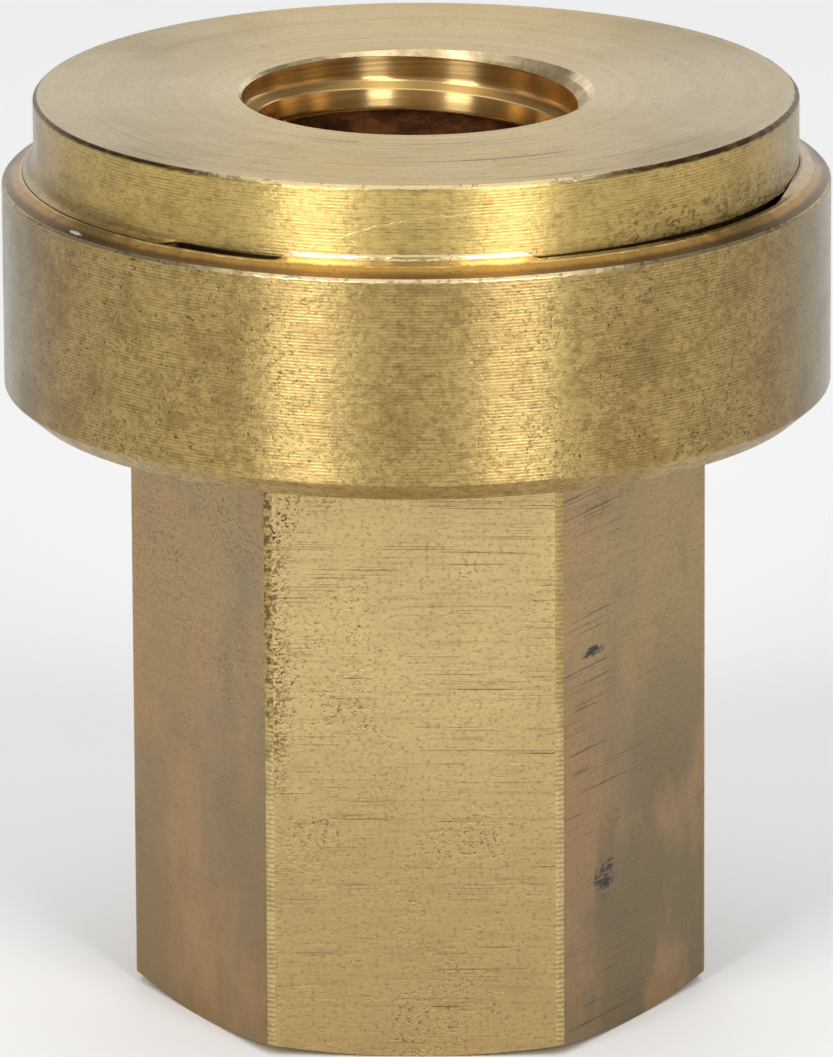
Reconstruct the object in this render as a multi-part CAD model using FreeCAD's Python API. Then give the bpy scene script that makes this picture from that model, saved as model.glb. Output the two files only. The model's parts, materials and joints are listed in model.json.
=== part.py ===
"""Inline fixed-preset water pressure regulator, as an assembly of separate pieces.

Millimetres. The axis of flow is +Z. The origin is the centre of the inlet end face, so the
regulator stands on z = 0 on its hexagonal end. The front flat of the hexagon faces -Y.
Water goes in at the bottom, up through the hollow stem and out of the cap at the top. Outlet
pressure pushes the piston down against the spring, until the stem's rim closes on the seat.
Pipe threads are held as plain bores at the minor diameter of the thread.
"""
import FreeCAD, Part
import math
import os

V = FreeCAD.Vector

# ---- outside of the housing -------------------------------------------------------------
HEX_FLATS = 30.0          # across flats
CORNER_R = 17.2           # corners of the hexagon are turned down to this radius
HEAD_R = 24.7
HEAD_BOTTOM = 36.75       # underside of the round head
HEAD_TOP = 50.85          # highest ring of the head's lip
HEAD_FOOT_CHAMFER_R = 1.4
HEAD_FOOT_CHAMFER_H = 1.2
LIP_INNER_R = 23.5        # where the lip is highest
LIP_OUTER_FALL = 0.85     # the head's side wall ends this far below the top of the lip
LIP_INNER_FALL = 0.8      # and so does the edge at the cap
LIP_CHAMFER = 0.4
CAP_R = 22.8
CAP_EDGE = 0.2            # chamfer around the top of the cap
TOTAL_H = 55.4
END_FACE_R = 14.9         # flat end face of the hexagon
END_CHAMFER_DEG = 16.0    # turned chamfer of the hexagon's end, from the end face

# ---- pipe thread (half inch parallel), both ends ----------------------------------------
THREAD_MINOR_R = 9.3155
MOUTH_R = 10.58           # wide end of the 45 degree countersink

# ---- inside of the housing, from the inlet upwards ---------------------------------------
INLET_THREAD_END = 12.0
RELIEF_R = 10.4           # undercut behind the inlet thread
HOLDER_BOTTOM = 15.0
HOLDER_TOP = 17.4
HOLDER_BORE_R = 9.0
INLET_CHAMBER_R = 8.0
WEB_BOTTOM = 21.4
WEB_TOP = 22.8
WEB_BORE_R = 5.15
SEAL_BORE_R = 7.0
CHAMBER_FLOOR = 27.6      # floor of the dry spring chamber
CHAMBER_R = 11.8
CYLINDER_FLOOR = 39.0
CYLINDER_R = 18.5
CAP_SEAT = 45.6           # shoulder that the cap is screwed down on
CAP_BORE_R = 22.8
CAP_SPIGOT_R = 22.75
CAP_SPIGOT_TOP = 49.8     # the cap has its full radius above this
CAP_FOOT_EDGE = 0.5
CAP_RELIEF_IN_R = 11.0    # hollow ring in the cap's underside
CAP_RELIEF_OUT_R = 18.0
CAP_RELIEF_DEPTH = 0.8
CAP_SEAL_R = 20.7         # middle of the cap's O-ring
CAP_SEAL_WIRE_R = 0.75
CAP_SEAL_GROOVE_HALF = 1.0

# ---- piston --------------------------------------------------------------------------------
TRAVEL = 2.0
STOP_GAP = 0.05           # left at each end of the travel
PISTON_TOP = CAP_SEAT - STOP_GAP
PISTON_BOTTOM = 41.1
PISTON_R = 18.42
PISTON_SEAL_WIRE_R = 1.1
PISTON_SEAL_Z = 43.3
PISTON_GROOVE_R = 16.25
PISTON_GROOVE_HALF = 1.3
STEM_R = 5.0
STEM_BORE_R = 3.2
STEM_RIM_R = 4.2          # narrow end that closes on the seat
STEM_RIM_H = 0.8
COLLAR_R = 7.0
COLLAR_BOTTOM = 44.35
COLLAR_BORE_R = 7.05
JOINT_SEAL_WIRE_R = 0.625
NUT_R = 7.6
NUT_BOTTOM = 38.7

# ---- stem seal and guide -------------------------------------------------------------------
SLIDE_CLEARANCE = 0.04
STEM_SEAL_WIRE_R = 0.9
BACKUP_BOTTOM = 24.6
BUSH_BOTTOM = 25.2
BUSH_FLANGE_R = 11.3
BUSH_TOP = 28.6

# ---- spring stack --------------------------------------------------------------------------
WASHER_TOP = 29.4
WASHER_HOLE_R = 5.6
SHIM_THICK = 0.2
SHIM_COUNT = 2
SHIM_R = 11.0
SPRING_MEAN_R = 9.4
SPRING_WIRE_R = 1.1
SPRING_TURNS = 4.0
SPRING_END_CUT = 0.8      # how much of the wire is ground away at each end
SPRING_POCKET_DEPTH = 1.0
SPRING_BOTTOM = WASHER_TOP + SHIM_COUNT * SHIM_THICK
SPRING_TOP = PISTON_BOTTOM + SPRING_POCKET_DEPTH

# ---- valve seat ------------------------------------------------------------------------------
SEAT_BOTTOM = 16.4
SEAT_TOP = 18.0
SEAT_R = 4.7
HOLDER_R = 8.95
FLOW_HOLES = 6
FLOW_HOLE_R = 1.45
FLOW_HOLE_PITCH_R = 6.6
SCREW_R = 1.25
SCREW_HEAD_R = 2.3
SCREW_HEAD_H = 0.9
SCREW_SLOT = 0.5
STEM_BOTTOM = SEAT_TOP + TRAVEL + STOP_GAP

# ---- inlet ring, strainer and snap ring ------------------------------------------------------
SNAP_RING_BOTTOM = 14.0
SNAP_RING_IN_R = 8.6
SNAP_RING_OUT_R = 10.3
SNAP_RING_GAP = 5.0
EAR_R = 1.3
EAR_Y = 8.0
EAR_HOLE_R = 0.55
GASKET_BOTTOM = 12.2
GASKET_IN_R = 6.9
GASKET_OUT_R = 10.2
STRAINER_R = 7.5
STRAINER_BOTTOM = 12.9
STRAINER_THICK = 0.4
STRAINER_HOLE_R = 0.42
STRAINER_PITCH = 1.3
STRAINER_FIELD_R = 6.2    # holes lie inside this radius

# ---- vent of the spring chamber, in the back flat --------------------------------------------
VENT_Z = 33.0
VENT_R = 0.8
VENT_FILTER_R = 1.75
VENT_FILTER_FROM = 13.2
VENT_FILTER_TO = 14.8

CUT_PAST = 1.0            # cutting tools reach this far past the faces that they cut


def turned(points):
    """A solid of revolution about the Z axis, from a closed outline of (radius, height) points."""
    corners = [V(r, 0, z) for r, z in points]
    face = Part.Face(Part.makePolygon(corners + corners[:1]))
    return face.revolve(V(0, 0, 0), V(0, 0, 1), 360)


def ring(r_in, r_out, bottom, top):
    """A flat ring."""
    return turned([(r_in, bottom), (r_out, bottom), (r_out, top), (r_in, top)])


def rod(r, bottom, top):
    """An upright cylinder on the Z axis."""
    return Part.makeCylinder(r, top - bottom, V(0, 0, bottom))


def bar_across(length, width, bottom, top):
    """An upright-sided bar along X, centred on the Z axis, for slots."""
    return Part.makeBox(length, width, top - bottom, V(-length / 2, -width / 2, bottom))


def o_ring(r, wire_r, z):
    """A rubber O-ring: r is the radius to the middle of its section."""
    return Part.makeTorus(r, wire_r, V(0, 0, z))


def hexagon(flats, bottom, top):
    """A hexagonal prism with one flat facing -Y."""
    corner = flats / math.sqrt(3)
    points = [V(corner * math.cos(k * math.pi / 3), corner * math.sin(k * math.pi / 3), bottom)
              for k in range(6)]
    face = Part.Face(Part.makePolygon(points + points[:1]))
    return face.extrude(V(0, 0, top - bottom))


def make_body():
    """Brass housing: hexagon with turned corners, round head, and all the bores inside."""
    rise = (CORNER_R - END_FACE_R) * math.tan(math.radians(END_CHAMFER_DEG))
    corners = turned([
        (0, 0),
        (END_FACE_R, 0),
        (CORNER_R, rise),
        (CORNER_R, HEAD_BOTTOM),
        (0, HEAD_BOTTOM),
    ])
    shank = hexagon(HEX_FLATS, 0, HEAD_BOTTOM).common(corners)
    wall_top = HEAD_TOP - LIP_OUTER_FALL
    head = turned([
        (0, HEAD_BOTTOM),
        (HEAD_R - HEAD_FOOT_CHAMFER_R, HEAD_BOTTOM),
        (HEAD_R, HEAD_BOTTOM + HEAD_FOOT_CHAMFER_H),
        (HEAD_R, wall_top),
        (HEAD_R - LIP_CHAMFER, wall_top + LIP_CHAMFER),
        (LIP_INNER_R, HEAD_TOP),
        (CAP_BORE_R, HEAD_TOP - LIP_INNER_FALL),
        (0, HEAD_TOP - LIP_INNER_FALL),
    ])
    groove_in = CAP_SEAL_R - CAP_SEAL_GROOVE_HALF
    groove_out = CAP_SEAL_R + CAP_SEAL_GROOVE_HALF
    bores = turned([
        (0, 0),
        (MOUTH_R, 0),
        (THREAD_MINOR_R, MOUTH_R - THREAD_MINOR_R),
        (THREAD_MINOR_R, INLET_THREAD_END),
        (RELIEF_R, INLET_THREAD_END),
        (RELIEF_R, HOLDER_BOTTOM),
        (HOLDER_BORE_R, HOLDER_BOTTOM),
        (HOLDER_BORE_R, HOLDER_TOP),
        (INLET_CHAMBER_R, HOLDER_TOP),
        (INLET_CHAMBER_R, WEB_BOTTOM),
        (WEB_BORE_R, WEB_BOTTOM),
        (WEB_BORE_R, WEB_TOP),
        (SEAL_BORE_R, WEB_TOP),
        (SEAL_BORE_R, CHAMBER_FLOOR),
        (CHAMBER_R, CHAMBER_FLOOR),
        (CHAMBER_R, CYLINDER_FLOOR),
        (CYLINDER_R, CYLINDER_FLOOR),
        (CYLINDER_R, CAP_SEAT),
        (groove_in, CAP_SEAT),
        (groove_in, CAP_SEAT - 2 * CAP_SEAL_WIRE_R),
        (groove_out, CAP_SEAT - 2 * CAP_SEAL_WIRE_R),
        (groove_out, CAP_SEAT),
        (CAP_BORE_R, CAP_SEAT),
        (CAP_BORE_R, HEAD_TOP),
        (0, HEAD_TOP),
    ])
    vent = Part.makeCylinder(VENT_R, HEX_FLATS / 2, V(0, 0, VENT_Z), V(0, 1, 0))
    filter_seat = Part.makeCylinder(VENT_FILTER_R, HEX_FLATS, V(0, VENT_FILTER_FROM, VENT_Z), V(0, 1, 0))
    body = shank.fuse(head).removeSplitter()
    return body.cut(bores).cut(vent).cut(filter_seat)


def make_outlet_cap():
    """Brass cap disc: screwed spigot below, female pipe thread through the middle."""
    return turned([
        (THREAD_MINOR_R, CAP_SEAT),
        (CAP_RELIEF_IN_R, CAP_SEAT),
        (CAP_RELIEF_IN_R, CAP_SEAT + CAP_RELIEF_DEPTH),
        (CAP_RELIEF_OUT_R, CAP_SEAT + CAP_RELIEF_DEPTH),
        (CAP_RELIEF_OUT_R, CAP_SEAT),
        (CAP_SPIGOT_R - CAP_FOOT_EDGE, CAP_SEAT),
        (CAP_SPIGOT_R, CAP_SEAT + CAP_FOOT_EDGE),
        (CAP_SPIGOT_R, CAP_SPIGOT_TOP),
        (CAP_R, CAP_SPIGOT_TOP),
        (CAP_R, TOTAL_H - CAP_EDGE),
        (CAP_R - CAP_EDGE, TOTAL_H),
        (MOUTH_R, TOTAL_H),
        (THREAD_MINOR_R, TOTAL_H - (MOUTH_R - THREAD_MINOR_R)),
    ])


def make_piston_head():
    """Brass piston disc: seal groove outside, seats for the stem's collar and the spring."""
    groove_low = PISTON_SEAL_Z - PISTON_GROOVE_HALF
    groove_high = PISTON_SEAL_Z + PISTON_GROOVE_HALF
    joint_groove_r = STEM_R + 2 * JOINT_SEAL_WIRE_R
    joint_groove_z = COLLAR_BOTTOM - 2 * JOINT_SEAL_WIRE_R
    edge = 0.3
    disc = turned([
        (STEM_R, PISTON_BOTTOM),
        (PISTON_R - edge, PISTON_BOTTOM),
        (PISTON_R, PISTON_BOTTOM + edge),
        (PISTON_R, groove_low),
        (PISTON_GROOVE_R, groove_low),
        (PISTON_GROOVE_R, groove_high),
        (PISTON_R, groove_high),
        (PISTON_R, PISTON_TOP - edge),
        (PISTON_R - edge, PISTON_TOP),
        (COLLAR_BORE_R, PISTON_TOP),
        (COLLAR_BORE_R, COLLAR_BOTTOM),
        (joint_groove_r, COLLAR_BOTTOM),
        (joint_groove_r, joint_groove_z),
        (STEM_R, joint_groove_z),
    ])
    pocket_play = 0.4
    pocket_in = SPRING_MEAN_R - SPRING_WIRE_R - pocket_play
    pocket_out = SPRING_MEAN_R + SPRING_WIRE_R + pocket_play
    return disc.cut(ring(pocket_in, pocket_out, PISTON_BOTTOM - CUT_PAST, SPRING_TOP))


def make_piston_seal():
    """O-ring in the piston's groove, just clear of the cylinder wall."""
    return o_ring(PISTON_GROOVE_R + PISTON_SEAL_WIRE_R, PISTON_SEAL_WIRE_R, PISTON_SEAL_Z)


def make_piston_stem():
    """Hollow stem: collar on top, narrow valve rim at the bottom."""
    bore_flare = 0.4
    return turned([
        (STEM_BORE_R, STEM_BOTTOM),
        (STEM_RIM_R, STEM_BOTTOM),
        (STEM_R, STEM_BOTTOM + STEM_RIM_H),
        (STEM_R, COLLAR_BOTTOM),
        (COLLAR_R, COLLAR_BOTTOM),
        (COLLAR_R, PISTON_TOP),
        (STEM_BORE_R + bore_flare, PISTON_TOP),
        (STEM_BORE_R, PISTON_TOP - bore_flare),
    ])


def make_stem_joint_seal():
    """Small O-ring under the stem's collar."""
    return o_ring(STEM_R + JOINT_SEAL_WIRE_R, JOINT_SEAL_WIRE_R, COLLAR_BOTTOM - JOINT_SEAL_WIRE_R)


def make_stem_nut():
    """Round nut under the piston disc, with four spanner slots."""
    slot_width = 2.0
    slot_depth = 1.2
    nut = ring(STEM_R, NUT_R, NUT_BOTTOM, PISTON_BOTTOM)
    for turn in range(2):
        slot = bar_across(3 * NUT_R, slot_width, NUT_BOTTOM - CUT_PAST, NUT_BOTTOM + slot_depth)
        slot.rotate(V(0, 0, 0), V(0, 0, 1), 90 * turn)
        nut = nut.cut(slot)
    return nut


def make_stem_seal():
    """O-ring around the stem, above the web."""
    inner = STEM_R + SLIDE_CLEARANCE
    return o_ring(inner + STEM_SEAL_WIRE_R, STEM_SEAL_WIRE_R, WEB_TOP + STEM_SEAL_WIRE_R)


def make_stem_backup_ring():
    """Flat ring that keeps the stem's O-ring in its seat."""
    play = 0.1
    return ring(STEM_R + SLIDE_CLEARANCE, SEAL_BORE_R - play, BACKUP_BOTTOM, BUSH_BOTTOM)


def make_guide_bush():
    """Acetal bush with a flange that the spring holds down."""
    play = 0.05
    inner = STEM_R + SLIDE_CLEARANCE
    return turned([
        (inner, BUSH_BOTTOM),
        (SEAL_BORE_R - play, BUSH_BOTTOM),
        (SEAL_BORE_R - play, CHAMBER_FLOOR),
        (BUSH_FLANGE_R, CHAMBER_FLOOR),
        (BUSH_FLANGE_R, BUSH_TOP),
        (inner, BUSH_TOP),
    ])


def make_spring_washer():
    """Steel washer between the bush and the shims."""
    return ring(WASHER_HOLE_R, BUSH_FLANGE_R, BUSH_TOP, WASHER_TOP)


def make_preset_shim(below):
    """One of the thin steel shims that set the outlet pressure, with this many others below it."""
    bottom = WASHER_TOP + below * SHIM_THICK
    return ring(WASHER_HOLE_R, SHIM_R, bottom, bottom + SHIM_THICK)


def make_pressure_spring():
    """Helical compression spring with both ends ground flat."""
    centre_bottom = SPRING_BOTTOM + SPRING_WIRE_R - SPRING_END_CUT
    centre_top = SPRING_TOP - SPRING_WIRE_R + SPRING_END_CUT
    height = centre_top - centre_bottom
    path = Part.makeHelix(height / SPRING_TURNS, height, SPRING_MEAN_R)
    path.translate(V(0, 0, centre_bottom))
    section = Part.Wire(Part.makeCircle(SPRING_WIRE_R, V(SPRING_MEAN_R, 0, centre_bottom), V(0, 1, 0)))
    coil = Part.Wire(path.Edges).makePipeShell([section], True, True)
    ground = rod(CHAMBER_R, SPRING_BOTTOM, SPRING_TOP)
    return coil.common(ground)


def make_seat_holder():
    """Brass disc that carries the rubber seat, with flow holes around it."""
    holder = rod(HOLDER_R, HOLDER_BOTTOM, HOLDER_TOP)
    holder = holder.cut(rod(SEAT_R, SEAT_BOTTOM, HOLDER_TOP + CUT_PAST))
    holder = holder.cut(rod(SCREW_R, HOLDER_BOTTOM - CUT_PAST, HOLDER_TOP))
    for k in range(FLOW_HOLES):
        turn = 2 * math.pi * k / FLOW_HOLES
        hole = rod(FLOW_HOLE_R, HOLDER_BOTTOM - CUT_PAST, HOLDER_TOP + CUT_PAST)
        hole.translate(V(FLOW_HOLE_PITCH_R * math.cos(turn), FLOW_HOLE_PITCH_R * math.sin(turn), 0))
        holder = holder.cut(hole)
    return holder


def make_seat_disc():
    """Rubber disc that the stem's rim closes on."""
    return ring(SCREW_R, SEAT_R, SEAT_BOTTOM, SEAT_TOP)


def make_seat_screw():
    """Slotted screw through the rubber disc and the holder."""
    shank = rod(SCREW_R, HOLDER_BOTTOM, SEAT_TOP)
    head_top = SEAT_TOP + SCREW_HEAD_H
    screw = shank.fuse(rod(SCREW_HEAD_R, SEAT_TOP, head_top)).removeSplitter()
    slot_bottom = SEAT_TOP + SCREW_HEAD_H / 2
    return screw.cut(bar_across(3 * SCREW_HEAD_R, SCREW_SLOT, slot_bottom, head_top + CUT_PAST))


def make_seat_ring():
    """Internal snap ring under the seat holder: a flat ring with a gap and two ears with plier holes."""
    flat = ring(SNAP_RING_IN_R, SNAP_RING_OUT_R, SNAP_RING_BOTTOM, HOLDER_BOTTOM)
    cut_bottom = SNAP_RING_BOTTOM - CUT_PAST
    cut_top = HOLDER_BOTTOM + CUT_PAST
    gap = bar_across(SNAP_RING_GAP, 2 * SNAP_RING_OUT_R, cut_bottom, cut_top)
    gap.translate(V(0, SNAP_RING_OUT_R, 0))
    flat = flat.cut(gap)
    ears = []
    holes = []
    for side in (-1, 1):
        place = V(side * (SNAP_RING_GAP + EAR_R) / 2, EAR_Y, 0)
        ears.append(rod(EAR_R, SNAP_RING_BOTTOM, HOLDER_BOTTOM).translated(place))
        holes.append(rod(EAR_HOLE_R, cut_bottom, cut_top).translated(place))
    return flat.fuse(ears).removeSplitter().cut(holes)


def make_inlet_gasket():
    """Rubber ring behind the inlet thread, with a slot that carries the strainer."""
    return turned([
        (GASKET_IN_R, GASKET_BOTTOM),
        (GASKET_OUT_R, GASKET_BOTTOM),
        (GASKET_OUT_R, SNAP_RING_BOTTOM),
        (GASKET_IN_R, SNAP_RING_BOTTOM),
        (GASKET_IN_R, STRAINER_BOTTOM + STRAINER_THICK),
        (STRAINER_R, STRAINER_BOTTOM + STRAINER_THICK),
        (STRAINER_R, STRAINER_BOTTOM),
        (GASKET_IN_R, STRAINER_BOTTOM),
    ])


def make_inlet_strainer():
    """Stainless strainer disc with small round holes on a triangular pitch."""
    disc = rod(STRAINER_R, STRAINER_BOTTOM, STRAINER_BOTTOM + STRAINER_THICK)
    row_pitch = STRAINER_PITCH * math.sqrt(3) / 2
    rows = int(STRAINER_FIELD_R / row_pitch)
    columns = int(STRAINER_FIELD_R / STRAINER_PITCH) + 1
    holes = []
    for row in range(-rows, rows + 1):
        shift = 0.5 * (row % 2)
        for column in range(-columns, columns + 1):
            x = (column + shift) * STRAINER_PITCH
            y = row * row_pitch
            if math.hypot(x, y) <= STRAINER_FIELD_R:
                hole = rod(STRAINER_HOLE_R, STRAINER_BOTTOM - CUT_PAST, STRAINER_BOTTOM + CUT_PAST)
                holes.append(hole.translated(V(x, y, 0)))
    return disc.cut(Part.makeCompound(holes))


def make_vent_filter():
    """Small sintered plug in the vent hole at the back."""
    length = VENT_FILTER_TO - VENT_FILTER_FROM
    return Part.makeCylinder(VENT_FILTER_R, length, V(0, VENT_FILTER_FROM, VENT_Z), V(0, 1, 0))


def make_cap_seal():
    """O-ring in the shoulder under the cap."""
    return o_ring(CAP_SEAL_R, CAP_SEAL_WIRE_R, CAP_SEAT - CAP_SEAL_WIRE_R)


PIECES = {
    "body": make_body(),
    "outlet_cap": make_outlet_cap(),
    "cap_seal": make_cap_seal(),
    "piston_head": make_piston_head(),
    "piston_seal": make_piston_seal(),
    "piston_stem": make_piston_stem(),
    "stem_joint_seal": make_stem_joint_seal(),
    "stem_nut": make_stem_nut(),
    "stem_seal": make_stem_seal(),
    "stem_backup_ring": make_stem_backup_ring(),
    "guide_bush": make_guide_bush(),
    "spring_washer": make_spring_washer(),
    "pressure_spring": make_pressure_spring(),
    "seat_holder": make_seat_holder(),
    "seat_disc": make_seat_disc(),
    "seat_screw": make_seat_screw(),
    "seat_ring": make_seat_ring(),
    "inlet_gasket": make_inlet_gasket(),
    "inlet_strainer": make_inlet_strainer(),
    "vent_filter": make_vent_filter(),
}
for shim in range(SHIM_COUNT):
    PIECES[f"preset_shim_{shim + 1}"] = make_preset_shim(shim)

os.makedirs("parts", exist_ok=True)
for node, shape in PIECES.items():
    print(node, "solids", len(shape.Solids), "valid", shape.isValid(), "mm3", round(shape.Volume, 2))
    shape.exportStep(f"parts/{node}.step")
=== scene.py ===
"""Visual model of a brass inline water pressure regulator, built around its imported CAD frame.

Lengths are in millimetres where a name says so or in the outlines, and MM turns them into metres.
The axis of flow is +Z, the inlet face is z = 0 and the front flat of the hexagon faces -Y.
"""
import json
import math

import bmesh
import bpy
import numpy as np
from mathutils import Matrix, Vector


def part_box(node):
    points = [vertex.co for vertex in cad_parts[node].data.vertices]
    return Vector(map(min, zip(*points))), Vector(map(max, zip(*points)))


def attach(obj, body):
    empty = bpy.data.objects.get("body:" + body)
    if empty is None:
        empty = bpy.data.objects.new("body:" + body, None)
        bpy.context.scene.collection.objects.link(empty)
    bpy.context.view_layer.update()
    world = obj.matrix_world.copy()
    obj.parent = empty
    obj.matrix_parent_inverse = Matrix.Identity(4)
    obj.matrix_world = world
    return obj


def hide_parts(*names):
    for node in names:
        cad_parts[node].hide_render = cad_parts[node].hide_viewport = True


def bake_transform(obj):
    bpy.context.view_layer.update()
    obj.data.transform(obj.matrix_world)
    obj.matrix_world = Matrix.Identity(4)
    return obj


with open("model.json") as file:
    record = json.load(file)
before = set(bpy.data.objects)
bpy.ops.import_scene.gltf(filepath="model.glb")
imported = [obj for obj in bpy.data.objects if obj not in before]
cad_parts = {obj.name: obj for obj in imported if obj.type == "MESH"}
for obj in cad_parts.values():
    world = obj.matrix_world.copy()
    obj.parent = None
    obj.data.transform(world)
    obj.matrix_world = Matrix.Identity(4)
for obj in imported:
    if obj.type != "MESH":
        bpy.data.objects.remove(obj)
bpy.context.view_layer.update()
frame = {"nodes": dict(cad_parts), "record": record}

MM = 0.001
TURN = 2 * math.pi


def box_mm(node):
    """Lowest and highest corner of a CAD node, in millimetres."""
    low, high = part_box(node)
    return [c / MM for c in low], [c / MM for c in high]


# ---- driving sizes, in millimetres --------------------------------------------------------
body_low, body_high = box_mm("body")
cap_low, cap_high = box_mm("outlet_cap")
vent_low, vent_high = box_mm("vent_filter")
spring_low, spring_high = box_mm("pressure_spring")
HEAD_R = min(body_high[0], -body_low[0])
HEAD_TOP = body_high[2]
CAP_R = cap_high[0]
CAP_TOP = cap_high[2]
CAP_SEAT = cap_low[2]
HEX_FLATS = 30.0
CORNER_R = 17.2
LAND_HALF_DEG = 0.95
END_FACE_R = 14.9
END_CHAMFER_DEG = 16.0
HEAD_BOTTOM = 36.75
FOOT_CHAMFER_R = 1.4
FOOT_CHAMFER_H = 1.2
WALL_TOP = HEAD_TOP - 0.69
RIM_EDGE = 0.17           # worn edge between the head's wall and the slope of its rim
LIP_CREST_R = 23.5
GAP_FLOOR = HEAD_TOP - 1.2
CAP_EDGE = 0.2
CYLINDER_R = 18.5
CAP_SPIGOT_R = 22.75
CAP_FOOT_EDGE = 0.5
CAP_RELIEF_IN_R = 11.6    # hollow ring in the cap's underside, 0.6 narrower than in the CAD model
CAP_RELIEF_OUT_R = 18.0
CAP_RELIEF_DEPTH = 0.8
CAP_SEAL_IN_R = 19.7
CAP_SEAL_OUT_R = 21.7
CAP_SEAL_FLOOR = 44.1
CYLINDER_FLOOR = 39.0
CHAMBER_R = 11.8
CHAMBER_FLOOR = 27.6
SEAL_BORE_R = 7.0
WEB_TOP = 22.8
WEB_BORE_R = 5.15
WEB_BOTTOM = 21.4
INLET_CHAMBER_R = 8.0
HOLDER_TOP = 17.4
HOLDER_BORE_R = 9.0
HOLDER_BOTTOM = 15.0
RELIEF_R = 10.4           # undercut behind the inlet thread
INLET_THREAD_END = 12.0
VENT_R = 0.8
VENT_Z = (vent_low[2] + vent_high[2]) / 2
VENT_SEAT_R = (vent_high[2] - vent_low[2]) / 2 + 0.02
VENT_SEAT_Y = vent_low[1] - 0.01
SPRING_BOTTOM = spring_low[2]
SPRING_TOP = spring_high[2]
SPRING_WIRE_R = 1.1
SPRING_MEAN_R = 9.4
SPRING_TURNS = 4
SPRING_END_CUT = 0.8      # how much of the wire is ground away at each end

# The pipe threads, with flat crests and roots.
MOUTH_R = 10.58
CREST_R = 9.28
ROOT_R = 10.38
THREAD_PITCH = 3.5
SHALLOW_ROOT_R = 9.95     # the root deeper in the cap, where it is painted dark as painted shade
# Top of the painted shade deep in the cap's thread; the root is also shallower below it.
PAINTED_SHADE_TOP = CAP_TOP - 3.4
INLET_CREST_AT_RIGHT = 0.4              # height of the lower edge of a crest, at +X
OUTLET_CREST_AT_BACK = CAP_TOP - 3.42   # and at +Y

MAX_THREAD_ROW = 0.12     # tallest mesh row in a thread
SMOOTH_DEG = 24           # edges sharper than this are shaded as edges


def add_object(name, data):
    """A new object with this mesh, camera or lamp, in the scene."""
    item = bpy.data.objects.new(name, data)
    bpy.context.scene.collection.objects.link(item)
    return item


# ---- turned pieces as meshes ----------------------------------------------------------------
def column_angles():
    """One column of mesh for each degree, moved so that columns fall on the edges of the corner lands.

    The last column is the first one again, a full turn on.
    """
    degrees = np.arange(361.0)
    for corner in range(0, 361, 60):
        degrees[(corner - 1) % 360] = (corner - LAND_HALF_DEG) % 360
        degrees[(corner + 1) % 360] = (corner + LAND_HALF_DEG) % 360
    return np.radians(degrees)


ANGLES = column_angles()
FROM_FRONT = (np.degrees(ANGLES) + 90 + 180) % 360 - 180     # 0 at -Y, positive toward +X


def between(low, high, blur=2.0):
    """1 between two angles from the front, in degrees, and 0 elsewhere, with soft ends."""
    rise = np.clip((FROM_FRONT - low) / blur + 0.5, 0, 1)
    fall = np.clip((high - FROM_FRONT) / blur + 0.5, 0, 1)
    return rise * rise * (3 - 2 * rise) * fall * fall * (3 - 2 * fall)


def uneven(seed, waves, size):
    """A repeatable uneven value around the axis, from a few dozen random waves."""
    random = np.random.default_rng(seed)
    total = np.zeros_like(ANGLES)
    for _ in range(waves):
        turns = random.integers(3, 150)
        total += np.cos(turns * ANGLES + random.uniform(0, TURN)) / math.sqrt(waves)
    return size * total


class Outline:
    """The rings of a turned piece, in order along its closed outline."""

    def __init__(self):
        self.rings = []
        self.skins = []
        self.skin = 0

    def ring(self, r, z):
        """Add one ring. r and z are numbers, or arrays with one value for each angle."""
        r = np.broadcast_to(np.asarray(r, float), ANGLES.shape)
        z = np.broadcast_to(np.asarray(z, float), ANGLES.shape)
        self.rings.append((r, z))
        self.skins.append(self.skin)

    def corner(self, r, z, before, after, size=0.06, flat=0.15):
        """Add a slightly rounded edge at r, z, between the directions of the two faces that meet.

        One more ring on each face, flat beyond the rounding, keeps the shading of the faces flat.
        """
        before = np.asarray(before, float) / np.hypot(*before)
        after = np.asarray(after, float) / np.hypot(*after)
        skin = self.skin
        self.skin = self.skins[-1]
        self.ring(r - (size + flat) * before[0], z - (size + flat) * before[1])
        self.skin = skin
        for share in np.linspace(0, 1, 6):
            back = size * (1 - share) ** 2
            ahead = size * share ** 2
            self.ring(r - back * before[0] + ahead * after[0], z - back * before[1] + ahead * after[1])
        self.ring(r + (size + flat) * after[0], z + (size + flat) * after[1])

    def blend(self, share, these, those):
        """Add rings between two outlines of as many points: all these at share 0, all those at 1."""
        for (r0, z0), (r1, z1) in zip(these, those):
            self.ring(r0 + (r1 - r0) * share, z0 + (z1 - z0) * share)

    def mesh(self, name, materials, land_skin=None, flat_skin=None):
        """Build the closed mesh. Faces of flat_skin on the corner lands get land_skin."""
        count = len(ANGLES)
        rings = len(self.rings)
        r = np.array([ring[0] for ring in self.rings])
        z = np.array([ring[1] for ring in self.rings])
        points = np.stack([r * np.cos(ANGLES), r * np.sin(ANGLES), z], axis=-1) * MM
        closed = np.isclose(z[:, -1:], z[:, :1])
        points[:, -1] = np.where(closed, points[:, 0], points[:, -1])
        j, i = np.meshgrid(np.arange(rings), np.arange(count - 1), indexing="ij")
        here = j * count + i
        ahead = (j + 1) % rings * count + i
        quads = np.stack([here, here + 1, ahead + 1, ahead], axis=-1)
        skins = np.array(self.skins)[j]
        if land_skin is not None:
            on_land = (i % 60 == 0) | (i % 60 == 59)
            skins = np.where((skins == flat_skin) & on_land, land_skin, skins)
        mesh = bpy.data.meshes.new(name)
        mesh.from_pydata(points.reshape(-1, 3).tolist(), [], quads.reshape(-1, 4).tolist())
        for material in materials:
            mesh.materials.append(material)
        mesh.polygons.foreach_set("material_index", skins.ravel().astype(np.int32))
        weld(mesh)
        return add_object(name, mesh)


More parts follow.
